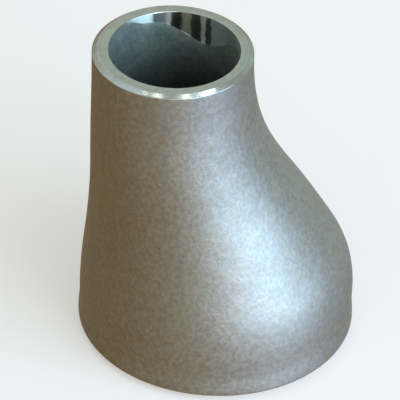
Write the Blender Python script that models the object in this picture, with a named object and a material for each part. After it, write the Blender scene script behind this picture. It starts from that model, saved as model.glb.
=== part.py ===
# Eccentric butt-weld pipe reducer, nominal size 2 x 1 (DN 50 x 25), seamless.
#
# Frame: metres, +Z up.  The large weld end stands on z = 0 with its centre at the
# origin.  The small weld end is level with it, LENGTH above.  The flat side of the
# fitting faces -X, so the small end's centre is displaced along -X by
# (LARGE_OD - SMALL_OD) / 2 and the fitting is symmetric about the XZ plane.
#
# The fitting is one seamless forged shell and is modelled as one closed body.

import math

import bmesh
import bpy
from mathutils import Vector

# ---------------------------------------------------------------- dimensions (m)
LARGE_OD = 0.0603          # outside diameter at the large weld end
SMALL_OD = 0.0334          # outside diameter at the small weld end
LENGTH = 0.0762            # end-face to end-face
LARGE_WALL = 0.00391       # nominal wall at the large end
SMALL_WALL = 0.00338       # nominal wall at the small end

BEVEL_ANGLE = math.radians(37.5)   # weld bevel, measured from the end-face plane
LARGE_LAND = 0.0021        # radial width of the flat land at the large end
SMALL_LAND = 0.0021        # radial width of the flat land at the small end
MOUTH_RADIUS = 0.0136      # small-end mouth, bored true
MOUTH_DEPTH = 0.0110       # the boring tool's travel below the small end-face

SHOULDER_START = 0.0092    # the straight band at the large end stops here
NECK_END = 0.0750          # the neck arc runs out to the straight small end here
SHOULDER_RADIUS = 0.0385   # mean meridian radius where the band turns into the cone
NECK_RADIUS = 0.1165       # mean meridian radius where the cone turns into the neck
BAND_TAPER = 0.00025       # the band draws in by this much on radius ...
BAND_TAPER_END = 0.0062    # ... up to this height
FLAT_DRAW = 0.00095        # the flat side is drawn in this far by forming ...
FLAT_DRAW_FROM = 0.0062    # ... between these two heights
FLAT_DRAW_TO = 0.0610

SEGMENTS = 72              # facets round the fitting
OUTER_STEP = 0.0038        # longest spacing of the outer stations up the wall
INNER_STEP = 0.0046        # longest spacing of the inner stations

# ---------------------------------------------------------------- finish
STEEL_COLOR = (0.33, 0.32, 0.30, 1.0)
STEEL_ROUGHNESS = 0.48
STEEL_METALLIC = 1.0

LARGE_RADIUS = LARGE_OD / 2.0
SMALL_RADIUS = SMALL_OD / 2.0
OFFSET = LARGE_RADIUS - SMALL_RADIUS
LARGE_BEVEL_WIDTH = LARGE_WALL - LARGE_LAND
LARGE_BEVEL_RISE = LARGE_BEVEL_WIDTH * math.tan(BEVEL_ANGLE)
SMALL_BEVEL_WIDTH = SMALL_RADIUS - MOUTH_RADIUS - SMALL_LAND
SMALL_BEVEL_RISE = SMALL_BEVEL_WIDTH * math.tan(BEVEL_ANGLE)


def smoothstep(value, start, stop):
    t = min(1.0, max(0.0, (value - start) / (stop - start)))
    return t * t * (3.0 - 2.0 * t)


def cone_angle():
    """Half angle of the straight cone that joins the shoulder and neck arcs."""
    drop = LARGE_RADIUS - BAND_TAPER - SMALL_RADIUS
    run = NECK_END - SHOULDER_START
    both = SHOULDER_RADIUS + NECK_RADIUS
    low, high = 0.0, math.asin(min(1.0, run / both)) - 1e-9
    for _ in range(80):
        mid = 0.5 * (low + high)
        reached = both * (1.0 - math.cos(mid)) + (run - both * math.sin(mid)) * math.tan(mid)
        if reached < drop:
            low = mid
        else:
            high = mid
    return 0.5 * (low + high)


CONE = cone_angle()
CONE_START = SHOULDER_START + SHOULDER_RADIUS * math.sin(CONE)
CONE_END = NECK_END - NECK_RADIUS * math.sin(CONE)


def mean_radius(z):
    """Radius of the outer circle at height z: band, shoulder arc, cone, neck arc."""
    band = LARGE_RADIUS - BAND_TAPER
    if z <= SHOULDER_START:
        return band + BAND_TAPER * (1.0 - smoothstep(z, LARGE_BEVEL_RISE, BAND_TAPER_END))
    if z < CONE_START:
        dz = z - SHOULDER_START
        return band - SHOULDER_RADIUS + math.sqrt(SHOULDER_RADIUS ** 2 - dz ** 2)
    if z < CONE_END:
        start = band - SHOULDER_RADIUS * (1.0 - math.cos(CONE))
        return start - (z - CONE_START) * math.tan(CONE)
    if z < NECK_END:
        dz = NECK_END - z
        return SMALL_RADIUS + NECK_RADIUS - math.sqrt(NECK_RADIUS ** 2 - dz ** 2)
    return SMALL_RADIUS


def centre_shift(z):
    """How far the outer circle's centre lies towards the flat side (-X)."""
    band = LARGE_RADIUS - BAND_TAPER
    shift = 0.0 if z <= SHOULDER_START else (band - mean_radius(z)) * OFFSET / (band - SMALL_RADIUS)
    if FLAT_DRAW_FROM < z < FLAT_DRAW_TO:
        t = (z - FLAT_DRAW_FROM) / (FLAT_DRAW_TO - FLAT_DRAW_FROM)
        shift -= FLAT_DRAW * math.sin(math.pi * t) ** 2
    return shift


def wall(z):
    t = min(1.0, max(0.0, z / LENGTH))
    return LARGE_WALL + (SMALL_WALL - LARGE_WALL) * t


def outer_point(z, angle):
    r = mean_radius(z)
    return Vector((-centre_shift(z) + r * math.cos(angle), r * math.sin(angle), z))


def inner_point(z, angle):
    """The outer point moved inwards, square to the skin, by the wall thickness."""
    h = 1e-5
    slope = (mean_radius(z + h) - mean_radius(z - h)) / (2 * h)
    lean = (centre_shift(z + h) - centre_shift(z - h)) / (2 * h)
    rise = slope - lean * math.cos(angle)
    normal = Vector((math.cos(angle), math.sin(angle), -rise)).normalized()
    p = outer_point(z, angle) - normal * wall(z)
    # the small end's mouth is bored to one true cylinder about the end's axis
    if p.z > LENGTH - MOUTH_DEPTH:
        flat = Vector((p.x + OFFSET, p.y, 0.0))
        if flat.length < MOUTH_RADIUS:
            flat = flat.normalized() * MOUTH_RADIUS
            p = Vector((flat.x - OFFSET, flat.y, p.z))
    return p


def stations(low, high, step, corners):
    """Heights from low to high that hit each corner height and are at most step apart."""
    stops = [low] + [c for c in corners if low + 1e-4 < c < high - 1e-4] + [high]
    heights = [low]
    for a, b in zip(stops, stops[1:]):
        n = max(1, math.ceil((b - a) / step - 1e-9))
        heights += [a + (b - a) * i / n for i in range(1, n + 1)]
    return heights


def end_ring(radius, centre_x, z):
    angles = [2 * math.pi * i / SEGMENTS for i in range(SEGMENTS)]
    return [Vector((centre_x + radius * math.cos(a), radius * math.sin(a), z)) for a in angles]


def meridian_loops():
    """Closed chain of rings: up the outside, over the small end, down the bore."""
    angles = [2 * math.pi * i / SEGMENTS for i in range(SEGMENTS)]
    corners = [BAND_TAPER_END, SHOULDER_START, CONE_START, CONE_END, NECK_END]
    rings = [end_ring(LARGE_RADIUS - LARGE_BEVEL_WIDTH, 0.0, 0.0)]
    top = LENGTH - SMALL_BEVEL_RISE
    for z in stations(LARGE_BEVEL_RISE, top, OUTER_STEP, corners):
        rings.append([outer_point(z, a) for a in angles])
    rings.append(end_ring(SMALL_RADIUS - SMALL_BEVEL_WIDTH, -OFFSET, LENGTH))
    rings.append(end_ring(MOUTH_RADIUS, -OFFSET, LENGTH))
    inner = stations(0.0, LENGTH - 0.0010, INNER_STEP, [LARGE_BEVEL_RISE + 0.004, CONE_START, CONE_END])
    for z in reversed(inner[1:]):
        rings.append([inner_point(z, a) for a in angles])
    rings.append(end_ring(LARGE_RADIUS - LARGE_WALL, 0.0, 0.0))
    return rings


def steel():
    mat = bpy.data.materials.new("pickled_stainless_steel")
    mat.use_nodes = True
    shader = mat.node_tree.nodes["Principled BSDF"]
    shader.inputs["Base Color"].default_value = STEEL_COLOR
    shader.inputs["Roughness"].default_value = STEEL_ROUGHNESS
    shader.inputs["Metallic"].default_value = STEEL_METALLIC
    return mat


def build_reducer():
    bm = bmesh.new()
    loops = [[bm.verts.new(p) for p in ring] for ring in meridian_loops()]
    for k, lower in enumerate(loops):
        upper = loops[(k + 1) % len(loops)]
        for i in range(SEGMENTS):
            j = (i + 1) % SEGMENTS
            bm.faces.new((lower[i], lower[j], upper[j], upper[i]))
    bmesh.ops.recalc_face_normals(bm, faces=bm.faces)
    bmesh.ops.triangulate(bm, faces=bm.faces)
    mesh = bpy.data.meshes.new("reducer_body")
    bm.to_mesh(mesh)
    bm.free()
    mesh.shade_smooth()
    mesh.set_sharp_from_angle(angle=math.radians(28))
    mesh.materials.append(steel())
    body = bpy.data.objects.new("reducer_body", mesh)
    bpy.context.scene.collection.objects.link(body)
    return body


for item in list(bpy.data.objects):
    bpy.data.objects.remove(item, do_unlink=True)
build_reducer()
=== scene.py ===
import math

import bmesh
import bpy
import numpy as np
from mathutils import Matrix, Vector, noise


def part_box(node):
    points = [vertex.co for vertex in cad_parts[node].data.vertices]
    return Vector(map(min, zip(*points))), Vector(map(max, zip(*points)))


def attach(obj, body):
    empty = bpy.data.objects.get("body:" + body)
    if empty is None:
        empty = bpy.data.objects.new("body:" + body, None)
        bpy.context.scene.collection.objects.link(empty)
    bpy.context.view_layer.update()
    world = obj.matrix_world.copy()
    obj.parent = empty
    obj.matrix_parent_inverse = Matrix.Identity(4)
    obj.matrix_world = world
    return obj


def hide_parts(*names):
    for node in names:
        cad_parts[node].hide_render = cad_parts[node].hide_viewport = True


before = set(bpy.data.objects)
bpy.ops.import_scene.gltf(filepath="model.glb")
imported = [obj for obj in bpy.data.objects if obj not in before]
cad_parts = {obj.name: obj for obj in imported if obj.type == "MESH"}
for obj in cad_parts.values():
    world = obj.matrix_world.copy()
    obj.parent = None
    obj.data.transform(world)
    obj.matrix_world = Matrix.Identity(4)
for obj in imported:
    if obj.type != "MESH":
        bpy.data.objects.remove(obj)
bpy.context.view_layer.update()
scene = bpy.context.scene

# ------------------------------------------------------------------ dimensions (m)
# The same figures that shape the CAD solid; the end planes and the large radius
# come from its box.
NODE = "reducer_body"
lo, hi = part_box(NODE)
LENGTH = hi.z - lo.z
R_LARGE = (hi.x - lo.x) / 2
R_SMALL = 0.0334 / 2
OFFSET = R_LARGE - R_SMALL
WALL_LARGE, WALL_SMALL = 0.00391, 0.00338
BEVEL = math.tan(math.radians(37.5))
LAND = 0.0021
MOUTH_R = 0.0136
SHOULDER_START, NECK_END = 0.0092, 0.0750
SHOULDER_R, NECK_R = 0.0385, 0.1165
TAPER, TAPER_END = 0.00025, 0.0062
DRAW, DRAW_FROM, DRAW_TO = 0.00095, 0.0062, 0.0610
BEVEL_W_LARGE = WALL_LARGE - LAND
BEVEL_H_LARGE = BEVEL_W_LARGE * BEVEL
BEVEL_W_SMALL = R_SMALL - MOUTH_R - LAND
BEVEL_H_SMALL = BEVEL_W_SMALL * BEVEL
# the bores are turned a little off the outside, as on the real fitting
MOUTH_DX, MOUTH_DY = 0.00016, -0.00028
# depth of the bored mouth: it runs out where the raw wall is thin, and goes deep where
# the wall is thick
MOUTH_THIN, MOUTH_SHALLOW, MOUTH_MORE, MOUTH_DEEP_AT = 0.0005, 0.0021, 0.0049, math.radians(62 - 38.73)
# the large end is skimmed inside too, so that its land has one width all round
SKIM_DEPTH = 0.0034
STEP = 0.00004             # shoulder where a bored band meets the raw wall
EDGE = 0.00016             # broken edges

SEGMENTS = 360


def smooth(x, a, b):
    t = np.clip((x - a) / (b - a), 0.0, 1.0)
    return t * t * (3.0 - 2.0 * t)


def cone_angle():
    drop = R_LARGE - TAPER - R_SMALL
    run = NECK_END - SHOULDER_START
    both = SHOULDER_R + NECK_R
    low, high = 0.0, math.asin(min(1.0, run / both)) - 1e-9
    for _ in range(80):
        mid = 0.5 * (low + high)
        got = both * (1 - math.cos(mid)) + (run - both * math.sin(mid)) * math.tan(mid)
        low, high = (mid, high) if got < drop else (low, mid)
    return 0.5 * (low + high)


CONE = cone_angle()
CONE_START = SHOULDER_START + SHOULDER_R * math.sin(CONE)
CONE_END = NECK_END - NECK_R * math.sin(CONE)


def meridian(z):
    """Mean outer radius and centre shift (towards -X) at heights z."""
    z = np.asarray(z, float)
    band = R_LARGE - TAPER
    r = np.full_like(z, band)
    shoulder = band - SHOULDER_R + np.sqrt(np.clip(SHOULDER_R**2 - (z - SHOULDER_START) ** 2, 0, None))
    cone = band - SHOULDER_R * (1 - math.cos(CONE)) - (z - CONE_START) * math.tan(CONE)
    neck = R_SMALL + NECK_R - np.sqrt(np.clip(NECK_R**2 - (NECK_END - z) ** 2, 0, None))
    r = np.where(z > SHOULDER_START, shoulder, r)
    r = np.where(z >= CONE_START, cone, r)
    r = np.where(z >= CONE_END, neck, r)
    r = np.where(z >= NECK_END, R_SMALL, r)
    shift = np.where(z <= SHOULDER_START, 0.0, (band - r) * OFFSET / (band - R_SMALL))
    t = np.clip((z - DRAW_FROM) / (DRAW_TO - DRAW_FROM), 0, 1)
    shift = shift - DRAW * np.sin(np.pi * t) ** 2
    r = r + TAPER * (1 - smooth(z, BEVEL_H_LARGE, TAPER_END)) * (z <= SHOULDER_START)
    return r, shift


def skin(z, a):
    """Outer points and outward normals for arrays of heights and angles."""
    h = 1e-6
    r, s = meridian(z)
    r1, s1 = meridian(z + h)
    r0, s0 = meridian(z - h)
    rise = (r1 - r0) / (2 * h) - (s1 - s0) / (2 * h) * np.cos(a)
    n = np.stack([np.cos(a), np.sin(a), -rise], -1)
    n /= np.linalg.norm(n, axis=-1, keepdims=True)
    p = np.stack([-s + r * np.cos(a), r * np.sin(a), z + 0 * a], -1)
    return p, n


def uneven(p, scale, seed):
    """Smooth values in -1..1 at points p, for forging unevenness."""
    return np.array([noise.noise(Vector(q) * scale + Vector((seed, 2 * seed, -seed))) for q in p])


ANG = 2 * math.pi * np.arange(SEGMENTS) / SEGMENTS
ONE = np.ones(SEGMENTS)


def ring(radius, cx, cy, z):
    return np.stack([cx + radius * np.cos(ANG), cy + radius * np.sin(ANG), z * ONE], -1)


def heights(a, b, step):
    n = max(1, math.ceil((b - a) / step))
    return [a + (b - a) * i / n for i in range(n + 1)]


SKIN, TURNED, BORED, RAW = 0, 1, 2, 3

rings, zones = [], []      # zones[k] is the finish between ring k and ring k + 1


def add(points, zone):
    rings.append(points)
    zones.append(zone)


def corner(before, edge, after, size, zone_before, zone_after, steps=4):
    """A broken edge: a small round between the faces before-edge and edge-after."""
    u = before - edge
    v = after - edge
    u = u / np.linalg.norm(u, axis=1, keepdims=True) * size
    v = v / np.linalg.norm(v, axis=1, keepdims=True) * size
    for i in range(steps + 1):
        t = i / steps
        add(edge + u * (1 - t) ** 2 + v * t**2, zone_before if i < steps / 2 else zone_after)


# the outer skin, with the slight waves that forming leaves (never proud of the size)
TOP = LENGTH - BEVEL_H_SMALL
outer = []
for z in heights(BEVEL_H_LARGE, TOP, 0.00064):
    p, n = skin(z * ONE, ANG)
    fade = smooth(z, BEVEL_H_LARGE, 0.009) * (1 - smooth(z, 0.064, TOP - 0.001))
    wave = 0.6 * uneven(p, 95.0, 3.1) + 0.4 * uneven(p, 240.0, 8.7) - 0.75
    outer.append(p + n * (fade * 0.00007 * wave)[:, None])

# the raw inner wall
turned = np.degrees(np.arccos(np.clip(np.cos(ANG - MOUTH_DEEP_AT), -1, 1)))
depth = MOUTH_SHALLOW - (MOUTH_SHALLOW - MOUTH_THIN) * smooth(turned, 56, 74)
depth = depth + MOUTH_MORE * np.clip(np.cos(ANG - MOUTH_DEEP_AT), 0, 1) ** 7
MOUTH_X, MOUTH_Y = -OFFSET + MOUTH_DX, MOUTH_DY
SKIM_R = R_LARGE - WALL_LARGE


def raw_wall(z):
    """Inner points at the stations z (array), between the two bored bands."""
    p, n = skin(z, ANG)
    q = p - n * (WALL_LARGE + (WALL_SMALL - WALL_LARGE) * z / LENGTH)[:, None]
    q[:, 2] = z
    q = q - n * (0.00010 * (1 + uneven(q, 150.0, 5.3)) * smooth(z, 0.004, 0.012))[:, None]
    near = smooth(z, LENGTH - depth - 0.014, LENGTH - depth)[:, None]
    dx, dy = q[:, 0] - MOUTH_X, q[:, 1] - MOUTH_Y
    d = np.hypot(dx, dy)
    want = np.stack([MOUTH_X + dx / d * (MOUTH_R - STEP), MOUTH_Y + dy / d * (MOUTH_R - STEP), z], -1)
    q = q * (1 - near) + want * near
    low = (1 - smooth(z, SKIM_DEPTH, SKIM_DEPTH + 0.006))[:, None]
    d = np.hypot(q[:, 0], q[:, 1])
    want = np.stack([q[:, 0] / d * (SKIM_R - STEP), q[:, 1] / d * (SKIM_R - STEP), z], -1)
    return q * (1 - low) + want * low


# large end: land and bevel
land_in = ring(SKIM_R, 0, 0, 0.0)
land_out = ring(R_LARGE - BEVEL_W_LARGE, 0, 0, 0.0)
corner(land_in, land_out, outer[0], EDGE, TURNED, TURNED)
corner(land_out, outer[0], outer[1], EDGE, TURNED, SKIN, 2)
for p in outer[1:-1]:
    add(p, SKIN)
# small end: bevel and land
face_out = ring(R_SMALL - BEVEL_W_SMALL, -OFFSET, 0, LENGTH)
face_in = ring(MOUTH_R, MOUTH_X, MOUTH_Y, LENGTH)
mouth_end = ring(MOUTH_R, MOUTH_X, MOUTH_Y, LENGTH - depth)
corner(outer[-2], outer[-1], face_out, EDGE * 0.3, SKIN, TURNED)
for t in (0.35, 0.65):
    add(outer[-1] * (1 - t) + face_out * t, TURNED)
corner(outer[-1], face_out, face_in, EDGE, TURNED, TURNED)
for t in (0.3, 0.5, 0.7):
    add(face_out * (1 - t) + face_in * t, TURNED)
corner(face_out, face_in, mouth_end, EDGE * 1.3, TURNED, BORED)
for t in (0.2, 0.4, 0.6, 0.8, 0.93):
    add(face_in * (1 - t) + mouth_end * t, BORED)
add(mouth_end, RAW)
# raw wall down to the skimmed band of the large end
begin = LENGTH - depth - STEP
count = 64
for i in range(count + 1):
    t = i / count
    add(raw_wall(begin + (SKIM_DEPTH + STEP - begin) * t), RAW)
zones[-1] = BORED
for z in (SKIM_DEPTH, 0.0022, 0.0011):
    add(ring(SKIM_R, 0, 0, z), BORED)
corner(ring(SKIM_R, 0, 0, 0.001), land_in, land_out, EDGE, BORED, TURNED)

bm = bmesh.new()
lathe = bm.loops.layers.uv.new("lathe")
loops = [[bm.verts.new(p) for p in r] for r in rings]
run = np.concatenate([[0.0], np.cumsum([np.linalg.norm(b - a, axis=1).mean() for a, b in zip(rings, rings[1:] + rings[:1])])])
for k, lower in enumerate(loops):
    upper = loops[(k + 1) % len(loops)]
    for i in range(SEGMENTS):
        j = (i + 1) % SEGMENTS
        f = bm.faces.new((lower[i], lower[j], upper[j], upper[i]))
        f.material_index = zones[k]
        f.smooth = True
        uv = ((k, i), (k, i + 1), (k + 1, i + 1), (k + 1, i))
        for loop, (a, b) in zip(f.loops, uv):
            loop[lathe].uv = (run[a] * 5.0, b / SEGMENTS)
bm.faces.ensure_lookup_table()
bmesh.ops.recalc_face_normals(bm, faces=bm.faces)
mesh = bpy.data.meshes.new("reducer_shell")
bm.to_mesh(mesh)
bm.free()
mesh.set_sharp_from_angle(angle=math.radians(40))
shell = bpy.data.objects.new("reducer_shell", mesh)
scene.collection.objects.link(shell)

# ------------------------------------------------------------------ finishes


class Nodes:
    """Short calls for one material's nodes."""

    def __init__(self, name):
        self.mat = bpy.data.materials.new(name)
        self.mat.use_nodes = True
        self.tree = self.mat.node_tree
        self.bsdf = self.tree.nodes["Principled BSDF"]
        self.place = self.node("ShaderNodeTexCoord").outputs["Object"]

    def node(self, kind, **settings):
        n = self.tree.nodes.new(kind)
        for k, v in settings.items():
            setattr(n, k, v)
        return n

    def put(self, value, socket):
        if isinstance(value, bpy.types.NodeSocket):
            self.tree.links.new(value, socket)
        else:
            socket.default_value = value

    def maths(self, what, a, b=0.0, c=0.0):
        n = self.node("ShaderNodeMath", operation=what)
        for value, socket in zip((a, b, c), n.inputs):
            self.put(value, socket)
        return n.outputs[0]

    def vector(self, what, a, b=(0, 0, 0)):
        n = self.node("ShaderNodeVectorMath", operation=what)
        self.put(a, n.inputs[0])
        self.put(b, n.inputs[1])
        return n.outputs["Value" if what in ("LENGTH", "DISTANCE", "DOT_PRODUCT") else 0]

    def noise(self, vector, scale, detail=2.0, rough=0.5, dims="3D", color=False):
        n = self.node("ShaderNodeTexNoise", noise_dimensions=dims)
        self.put(vector, n.inputs["W" if dims == "1D" else "Vector"])
        n.inputs["Scale"].default_value = scale
        n.inputs["Detail"].default_value = detail
        n.inputs["Roughness"].default_value = rough
        return n.outputs["Color" if color else 0]

    def ramp(self, value, a, b, c=0.0, d=1.0):
        n = self.node("ShaderNodeMapRange", interpolation_type="SMOOTHSTEP", clamp=True)
        self.put(value, n.inputs["Value"])
        for k, v in zip(("From Min", "From Max", "To Min", "To Max"), (a, b, c, d)):
            self.put(v, n.inputs[k])
        return n.outputs[0]

    def mix(self, factor, a, b, how="MIX"):
        n = self.node("ShaderNodeMix", data_type="RGBA", blend_type=how)
        self.put(factor, n.inputs[0])
        self.put(a, n.inputs[6])
        self.put(b, n.inputs[7])
        return n.outputs[2]

    def bump(self, height, strength, distance, under=None):
        n = self.node("ShaderNodeBump")
        n.inputs["Strength"].default_value = strength
        n.inputs["Distance"].default_value = distance
        self.put(height, n.inputs["Height"])
        if under is not None:
            self.put(under, n.inputs["Normal"])
        return n.outputs[0]

    def polar(self, cx, cy):
        """Distance from the upright axis through (cx, cy)."""
        moved = self.vector("SUBTRACT", self.place, (cx, cy, 0))
        return self.vector("LENGTH", self.vector("MULTIPLY", moved, (1, 1, 0)))


# burnished streaks of the bored mouth, as turns of the circle and dullness
STREAKS = (
    (0.000, 0.036, 0.32),
    (0.044, 0.050, 0.31),
    (0.056, 0.064, 0.14),
    (0.069, 0.075, 0.43),
    (0.082, 0.100, 0.15),
    (0.108, 0.124, 0.34),
    (0.133, 0.150, 0.13),
    (0.157, 0.162, 0.31),
    (0.170, 0.178, 0.22),
    (0.186, 0.196, 0.20),
    (0.208, 0.232, 0.50),
    (0.243, 0.330, 0.40),
    (0.350, 0.480, 0.26),
    (0.500, 0.640, 0.18),
    (0.660, 0.820, 0.30),
    (0.850, 0.980, 0.28),
)


def rgb(r, g, b):
    return (r, g, b, 1.0)


def skin_finish():
    """Blasted and pickled outside: grey, fine grain, clouded, with a few scuffs."""
    m = Nodes("blasted_skin")
    p = m.place
    m.bsdf.inputs["Metallic"].default_value = 1.0
    grain = m.noise(m.vector("MULTIPLY", p, (1, 1, 0.8)), 1150.0, 1.5, 0.55)
    fine = m.noise(p, 2900.0, 1.0, 0.5)
    cloud = m.noise(p, 130.0, 3.0, 0.6)
    patch = m.noise(p, 420.0, 2.0, 0.55)
    tint = m.noise(m.vector("ADD", p, (0.31, 0.12, 0.4)), 420.0, 2.0, 0.6)
    # colour: a warm and a cool grey clouded together, then darker grain and patches
    base = m.mix(m.ramp(tint, 0.34, 0.66), rgb(0.513, 0.507, 0.491), rgb(0.495, 0.510, 0.512))
    base = m.mix(m.ramp(cloud, 0.30, 0.70), m.mix(1.0, base, rgb(0.98, 0.98, 0.98), "MULTIPLY"), base)
    shade = m.ramp(grain, 0.25, 0.75, 0.90, 1.065)
    shade = m.maths("MULTIPLY", shade, m.ramp(patch, 0.3, 0.7, 0.99, 1.005))
    shade = m.maths("MULTIPLY", shade, m.ramp(fine, 0.2, 0.8, 0.94, 1.06))
    # scuffs: short thin strokes that run down the slope at an angle
    along = Vector((0.46, -0.41, -0.79)).normalized()
    across = along.cross(Vector((0, 0, 1))).normalized()
    lean = m.node("ShaderNodeCombineXYZ")
    for i, (axis, often) in enumerate(((along, 330), (across, 3400), (along.cross(across), 3400))):
        m.put(m.vector("DOT_PRODUCT", p, axis * often), lean.inputs[i])
    strokes = m.noise(lean.outputs[0], 1.0, 1.0, 0.5)
    where = m.noise(m.vector("ADD", p, (0.7, 0.2, 0.1)), 75.0, 1.0, 0.5)
    where = m.maths("MULTIPLY", m.ramp(where, 0.44, 0.60), 0.6)
    for centre in ((-0.0143, -0.0233, 0.0279), (-0.0222, -0.0160, 0.0408), (0.0262, 0.0105, 0.0230)):
        where = m.maths("MAXIMUM", where, m.ramp(m.vector("DISTANCE", p, centre), 0.0020, 0.0058, 0.9, 0.0))
    scuff = m.maths("MULTIPLY", m.ramp(strokes, 0.58, 0.70), where)
    nicks = m.ramp(m.noise(m.vector("ADD", p, (0.2, 0.9, 0.3)), 800.0, 0.0, 0.5), 0.80, 0.86)
    for centre in ((-0.0154, -0.0234, 0.0247), (-0.0213, -0.0206, 0.0142)):
        nicks = m.maths("MAXIMUM", nicks, m.ramp(m.vector("DISTANCE", p, centre), 0.0002, 0.0005, 1.0, 0.0))
    scuff = m.maths("MAXIMUM", scuff, nicks)
    m.put(m.mix(m.maths("MULTIPLY", scuff, 0.60), m.mix(1.0, base, m.grey(shade), "MULTIPLY"), rgb(0.66, 0.67, 0.66)), m.bsdf.inputs["Base Color"])
    rough = m.maths("ADD", m.ramp(cloud, 0.3, 0.7, 0.460, 0.472), m.ramp(grain, 0.3, 0.7, -0.02, 0.02))
    m.put(m.maths("SUBTRACT", rough, m.maths("MULTIPLY", scuff, 0.08)), m.bsdf.inputs["Roughness"])
    normal = m.bump(fine, 0.5, 0.00002, m.bump(grain, 0.5, 0.00006))
    normal = m.bump(patch, 0.5, 0.00003, normal)
    normal = m.bump(scuff, 0.25, 0.00004, normal)
    m.put(normal, m.bsdf.inputs["Normal"])
    return m.mat


def grey(self, value):
    n = self.node("ShaderNodeCombineXYZ")
    for i in range(3):
        self.put(value, n.inputs[i])
    return n.outputs[0]


Nodes.grey = grey


def turned_finish():
    """Lathe-cut lands and bevels: brighter, with fine turning lines about their axis."""
    m = Nodes("turned_land")
    p = m.place
    m.bsdf.inputs["Metallic"].default_value = 1.0
    small = m.polar(-OFFSET, 0)
    large = m.polar(0, 0)
    z = m.node("ShaderNodeSeparateXYZ")
    m.put(p, z.inputs[0])
    high = m.maths("GREATER_THAN", z.outputs[2], LENGTH / 2)
    away = m.maths("ADD", m.maths("MULTIPLY", small, high), m.maths("MULTIPLY", large, m.maths("SUBTRACT", 1.0, high)))
    lines = m.noise(away, 5200.0, 1.0, 0.5, dims="1D")
    broad = m.noise(away, 1500.0, 1.0, 0.5, dims="1D")
    wear = m.noise(p, 380.0, 3.0, 0.6)
    speck = m.noise(p, 2300.0, 1.0, 0.5)
    shade = m.maths("MULTIPLY", m.ramp(lines, 0.25, 0.75, 0.93, 1.05), m.ramp(broad, 0.3, 0.7, 0.96, 1.03))
    shade = m.maths("MULTIPLY", shade, m.ramp(wear, 0.3, 0.7, 0.93, 1.04))
    shade = m.maths("MULTIPLY", shade, m.ramp(speck, 0.25, 0.75, 0.95, 1.05))
    base = m.mix(m.ramp(wear, 0.3, 0.7), rgb(0.512, 0.552, 0.546), rgb(0.536, 0.571, 0.575))
    m.put(m.mix(1.0, base, m.grey(shade), "MULTIPLY"), m.bsdf.inputs["Base Color"])
    m.put(m.maths("ADD", m.ramp(wear, 0.3, 0.7, 0.155, 0.19), m.ramp(lines, 0.3, 0.7, -0.02, 0.02)), m.bsdf.inputs["Roughness"])
    normal = m.bump(lines, 0.35, 0.00002)
    normal = m.bump(speck, 0.25, 0.00002, normal)
    m.put(normal, m.bsdf.inputs["Normal"])
    return m.mat


def bored_finish():
    """Bored bands: bright, tool marks that drag reflections upright, burnished streaks."""
    m = Nodes("bored_mouth")
    p = m.place
    m.bsdf.inputs["Metallic"].default_value = 1.0
    z = m.node("ShaderNodeSeparateXYZ")
    m.put(p, z.inputs[0])
    lathe_uv = m.node("ShaderNodeUVMap", uv_map="lathe")
    around = m.node("ShaderNodeSeparateXYZ")
    m.put(lathe_uv.outputs[0], around.inputs[0])
    lines = m.noise(z.outputs[2], 4200.0, 1.0, 0.5, dims="1D")
    wear = m.noise(p, 300.0, 3.0, 0.6)
    # how dull the band is round the bore: (turn, dullness) between soft-edged streaks
    ramp = m.node("ShaderNodeValToRGB")
    ramp.color_ramp.interpolation = "LINEAR"
    stops = ramp.color_ramp.elements
    while len(stops) > 1:
        stops.remove(stops[-1])
    flat = []
    for start, end, value in STREAKS:
        flat += [(start, value), (end, value)]
    stops[0].position = flat[0][0]
    stops[0].color = (flat[0][1],) * 3 + (1,)
    for place, value in flat[1:]:
        stops.new(place).color = (value, value, value, 1)
    ragged = m.maths("SUBTRACT", m.noise(p, 900.0, 2.0, 0.6), 0.5)
    m.put(m.maths("MULTIPLY_ADD", ragged, 0.012, around.outputs[1]), ramp.inputs[0])
    dull = ramp.outputs[0]
    shade = m.maths("MULTIPLY", m.ramp(lines, 0.25, 0.75, 0.92, 1.05), m.ramp(wear, 0.3, 0.7, 0.94, 1.04))
    m.put(m.mix(1.0, rgb(0.58, 0.62, 0.60), m.grey(shade), "MULTIPLY"), m.bsdf.inputs["Base Color"])
    m.put(m.maths("ADD", dull, m.ramp(wear, 0.3, 0.7, -0.015, 0.015)), m.bsdf.inputs["Roughness"])
    m.bsdf.inputs["Anisotropic"].default_value = 1.0
    tangent = m.node("ShaderNodeTangent", direction_type="UV_MAP", uv_map="lathe")
    m.put(tangent.outputs[0], m.bsdf.inputs["Tangent"])
    m.put(m.bump(lines, 0.2, 0.00001), m.bsdf.inputs["Normal"])
    return m.mat


def raw_finish():
    """Raw inner wall: dull blue-grey forming scale, lightly clouded."""
    m = Nodes("raw_bore")
    p = m.place
    m.bsdf.inputs["Metallic"].default_value = 0.5
    grain = m.noise(p, 1300.0, 2.0, 0.7)
    cloud = m.noise(p, 260.0, 3.0, 0.6)
    base = m.mix(m.ramp(cloud, 0.3, 0.7), rgb(0.150, 0.190, 0.185), rgb(0.195, 0.228, 0.208))
    m.put(m.mix(1.0, base, m.grey(m.ramp(grain, 0.30, 0.70, 0.82, 1.16)), "MULTIPLY"), m.bsdf.inputs["Base Color"])
    m.put(m.ramp(cloud, 0.3, 0.7, 0.46, 0.56), m.bsdf.inputs["Roughness"])
    m.put(m.bump(grain, 0.6, 0.00012, m.bump(cloud, 0.4, 0.0002)), m.bsdf.inputs["Normal"])
    return m.mat


for finish in (skin_finish, turned_finish, bored_finish, raw_finish):
    mesh.materials.append(finish())

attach(shell, "root")
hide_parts(NODE)

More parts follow.
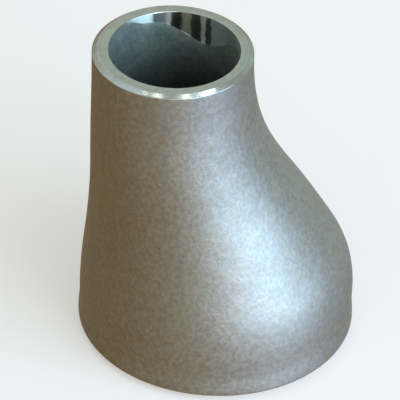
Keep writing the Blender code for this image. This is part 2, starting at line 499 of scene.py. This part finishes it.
# ------------------------------------------------------------------ floor
PALE = (0.90, 0.90, 0.895)
bm = bmesh.new()
bmesh.ops.create_circle(bm, cap_ends=True, segments=96, radius=6.0)
fmesh = bpy.data.meshes.new("floor")
bm.to_mesh(fmesh)
bm.free()
floor = bpy.data.objects.new("floor", fmesh)
floor.location.z = -0.00005
floor.visible_glossy = False
floor.visible_diffuse = False
floor.visible_shadow = False
f = Nodes("floor_white")
f.bsdf.inputs["Base Color"].default_value = (0.87, 0.80, 0.79, 1)
f.bsdf.inputs["Roughness"].default_value = 1.0
f.bsdf.inputs["Specular IOR Level"].default_value = 0.0
glow = f.node("ShaderNodeEmission")
glow.inputs["Color"].default_value = (*PALE, 1)
blend = f.node("ShaderNodeMixShader")
f.put(f.ramp(f.polar(0, 0), 0.03, 0.30, 0.40, 1.0), blend.inputs[0])
f.put(f.bsdf.outputs[0], blend.inputs[1])
f.put(glow.outputs[0], blend.inputs[2])
f.put(blend.outputs[0], f.tree.nodes["Material Output"].inputs["Surface"])
fmesh.materials.append(f.mat)
scene.collection.objects.link(floor)

# a dark grey disc on the ground inside the bore: its dark colour is painted shade, on top of the real shade the bore
# casts; the floor itself is there for the camera only
bm = bmesh.new()
bmesh.ops.create_circle(bm, cap_ends=True, segments=96, radius=R_LARGE - 0.0024)
gmesh = bpy.data.meshes.new("ground_in_bore")
bm.to_mesh(gmesh)
bm.free()
ground = bpy.data.objects.new("ground_in_bore", gmesh)
ground.location.z = -0.00002
g = Nodes("painted_shade_ground")
# dark base colour: painted shade for the ground under the bore
g.bsdf.inputs["Base Color"].default_value = (0.30, 0.29, 0.27, 1)
g.bsdf.inputs["Roughness"].default_value = 1.0
g.bsdf.inputs["Specular IOR Level"].default_value = 0.0
gmesh.materials.append(g.mat)
scene.collection.objects.link(ground)

# ------------------------------------------------------------------ light
# A soft studio: a large cool window to the right of the camera with a second, warmer
# one beside it, pale ceiling and wall fill, a tan table's bounce from below, and a few
# small ceiling panels that show as crisp spots in the turned metal.
# Azimuth 0 is the camera's right and 90 points away from it; elevation is above the
# horizon; sizes are half angles; all in degrees. Colours are radiances before GAIN.
scene.view_settings.view_transform = "Standard"
CAM_TURN = 180 - 218.734
GAIN = 2.14
WINDOWS = (
    (-35.4, 22.8, 28.7, 19.0, (1.099, 1.710, 2.224)),
    (-72.9, 14.7, 18.5, 20.0, (0.958, 0.977, 0.994)),
)
PANELS = (
    (-147.0, 63.0, 1.1, 2.5, (1.500, 1.500, 1.150)),
    (-121.0, 66.0, 2.6, 3.0, (1.700, 1.750, 1.350)),
    (-59.5, 66.0, 3.2, 3.0, (1.700, 1.750, 1.350)),
    (-20.0, 58.5, 6.4, 4.0, (1.650, 2.000, 2.200)),
)
#        azimuth elevation tightness colour
SOFT = (
    (-48.5, 33.6, 9.3, (0.513, 0.674, 0.736)),
    (5.5, 80.9, 7.2, (0.120, 0.169, 0.197)),
    (-160.0, 47.6, 9.0, (0.176, 0.249, 0.292)),
    (-122.5, 19.0, 7.3, (0.219, 0.273, 0.187)),
    (46.4, 14.0, 4.3, (0.114, 0.192, 0.199)),
    (97.2, 40.1, 3.7, (0.102, 0.127, 0.117)),
    (-13.0, -43.3, 11.7, (0.087, 0.107, 0.166)),
    (142.3, 33.8, 4.7, (0.142, 0.178, 0.170)),
    (-60.0, -86.0, 5.9, (0.140, 0.109, 0.068)),
    (-38.6, 2.9, 12.4, (0.634, 0.900, 1.140)),
    (-68.6, 20.0, 6.5, (0.088, 0.086, 0.083)),
)
AMBIENT = (0.086, 0.048, 0.012)

world = bpy.data.worlds.new("studio")
scene.world = world
world.use_nodes = True
tree = world.node_tree
tree.nodes.clear()
way = tree.nodes.new("ShaderNodeTexCoord").outputs["Generated"]


def toward(azimuth, elevation):
    a, e = math.radians(azimuth + CAM_TURN), math.radians(elevation)
    return Vector((math.cos(a) * math.cos(e), math.sin(a) * math.cos(e), math.sin(e)))


total = tree.nodes.new("ShaderNodeCombineXYZ")
for i in range(3):
    total.inputs[i].default_value = AMBIENT[i] * GAIN
total = total.outputs[0]
for azimuth, elevation, tight, colour in SOFT:
    dot = tree.nodes.new("ShaderNodeVectorMath")
    dot.operation = "DOT_PRODUCT"
    tree.links.new(way, dot.inputs[0])
    dot.inputs[1].default_value = toward(azimuth, elevation)
    scaled = tree.nodes.new("ShaderNodeMath")
    scaled.operation = "MULTIPLY_ADD"
    tree.links.new(dot.outputs["Value"], scaled.inputs[0])
    scaled.inputs[1].default_value = tight
    scaled.inputs[2].default_value = -tight
    power = tree.nodes.new("ShaderNodeMath")
    power.operation = "EXPONENT"
    tree.links.new(scaled.outputs[0], power.inputs[0])
    part = tree.nodes.new("ShaderNodeVectorMath")
    part.operation = "SCALE"
    part.inputs[0].default_value = Vector(colour) * GAIN
    tree.links.new(power.outputs[0], part.inputs["Scale"])
    more = tree.nodes.new("ShaderNodeVectorMath")
    more.operation = "ADD"
    tree.links.new(total, more.inputs[0])
    tree.links.new(part.outputs[0], more.inputs[1])
    total = more.outputs[0]
lit = tree.nodes.new("ShaderNodeBackground")
tree.links.new(total, lit.inputs["Color"])
seen = tree.nodes.new("ShaderNodeBackground")
seen.inputs["Color"].default_value = (*PALE, 1)
which = tree.nodes.new("ShaderNodeMixShader")
tree.links.new(tree.nodes.new("ShaderNodeLightPath").outputs["Is Camera Ray"], which.inputs[0])
tree.links.new(lit.outputs[0], which.inputs[1])
tree.links.new(seen.outputs[0], which.inputs[2])
out = tree.nodes.new("ShaderNodeOutputWorld")
tree.links.new(which.outputs[0], out.inputs["Surface"])

FAR = 3.0                  # the windows and panels are this far away (m)


def panel(name, azimuth, elevation, half_width, half_height, colour):
    width = 2 * FAR * math.tan(math.radians(half_width))
    height = 2 * FAR * math.tan(math.radians(half_height))
    data = bpy.data.lights.new(name, "AREA")
    data.shape = "RECTANGLE"
    data.size, data.size_y = width, height
    top = max(colour)
    data.color = [c / top for c in colour]
    data.energy = top * GAIN * math.pi * width * height
    lamp = bpy.data.objects.new(name, data)
    away = toward(azimuth, elevation)
    lamp.location = Vector((0, 0, LENGTH / 2)) + away * FAR
    lamp.rotation_euler = away.to_track_quat("Z", "Y").to_euler()
    lamp.visible_camera = False
    scene.collection.objects.link(lamp)


for i, row in enumerate(WINDOWS + PANELS):
    panel(f"panel_{i}", *row)

# ------------------------------------------------------------------ camera
PITCH, ROLL = math.radians(37.641), math.radians(1.720)
POS = Vector((-4.059, -570.213, 470.553)) / 1000
FOCAL = 3347.6
turn = Matrix.Rotation(math.radians(CAM_TURN), 3, "Z")
fw = Vector((0, math.cos(PITCH), -math.sin(PITCH)))
up0 = Vector((0, math.sin(PITCH), math.cos(PITCH)))
rt0 = Vector((1, 0, 0))
rt = rt0 * math.cos(ROLL) + up0 * math.sin(ROLL)
up = up0 * math.cos(ROLL) - rt0 * math.sin(ROLL)
rt, up, fw = turn @ rt, turn @ up, turn @ fw
cam_data = bpy.data.cameras.new("camera")
cam_data.sensor_width = 36
cam_data.lens = FOCAL * 36 / 400
cam_data.clip_start, cam_data.clip_end = 0.01, 40
cam = bpy.data.objects.new("camera", cam_data)
cam.matrix_world = Matrix.Translation(turn @ POS) @ Matrix((rt, up, -fw)).transposed().to_4x4()
scene.collection.objects.link(cam)
scene.camera = cam
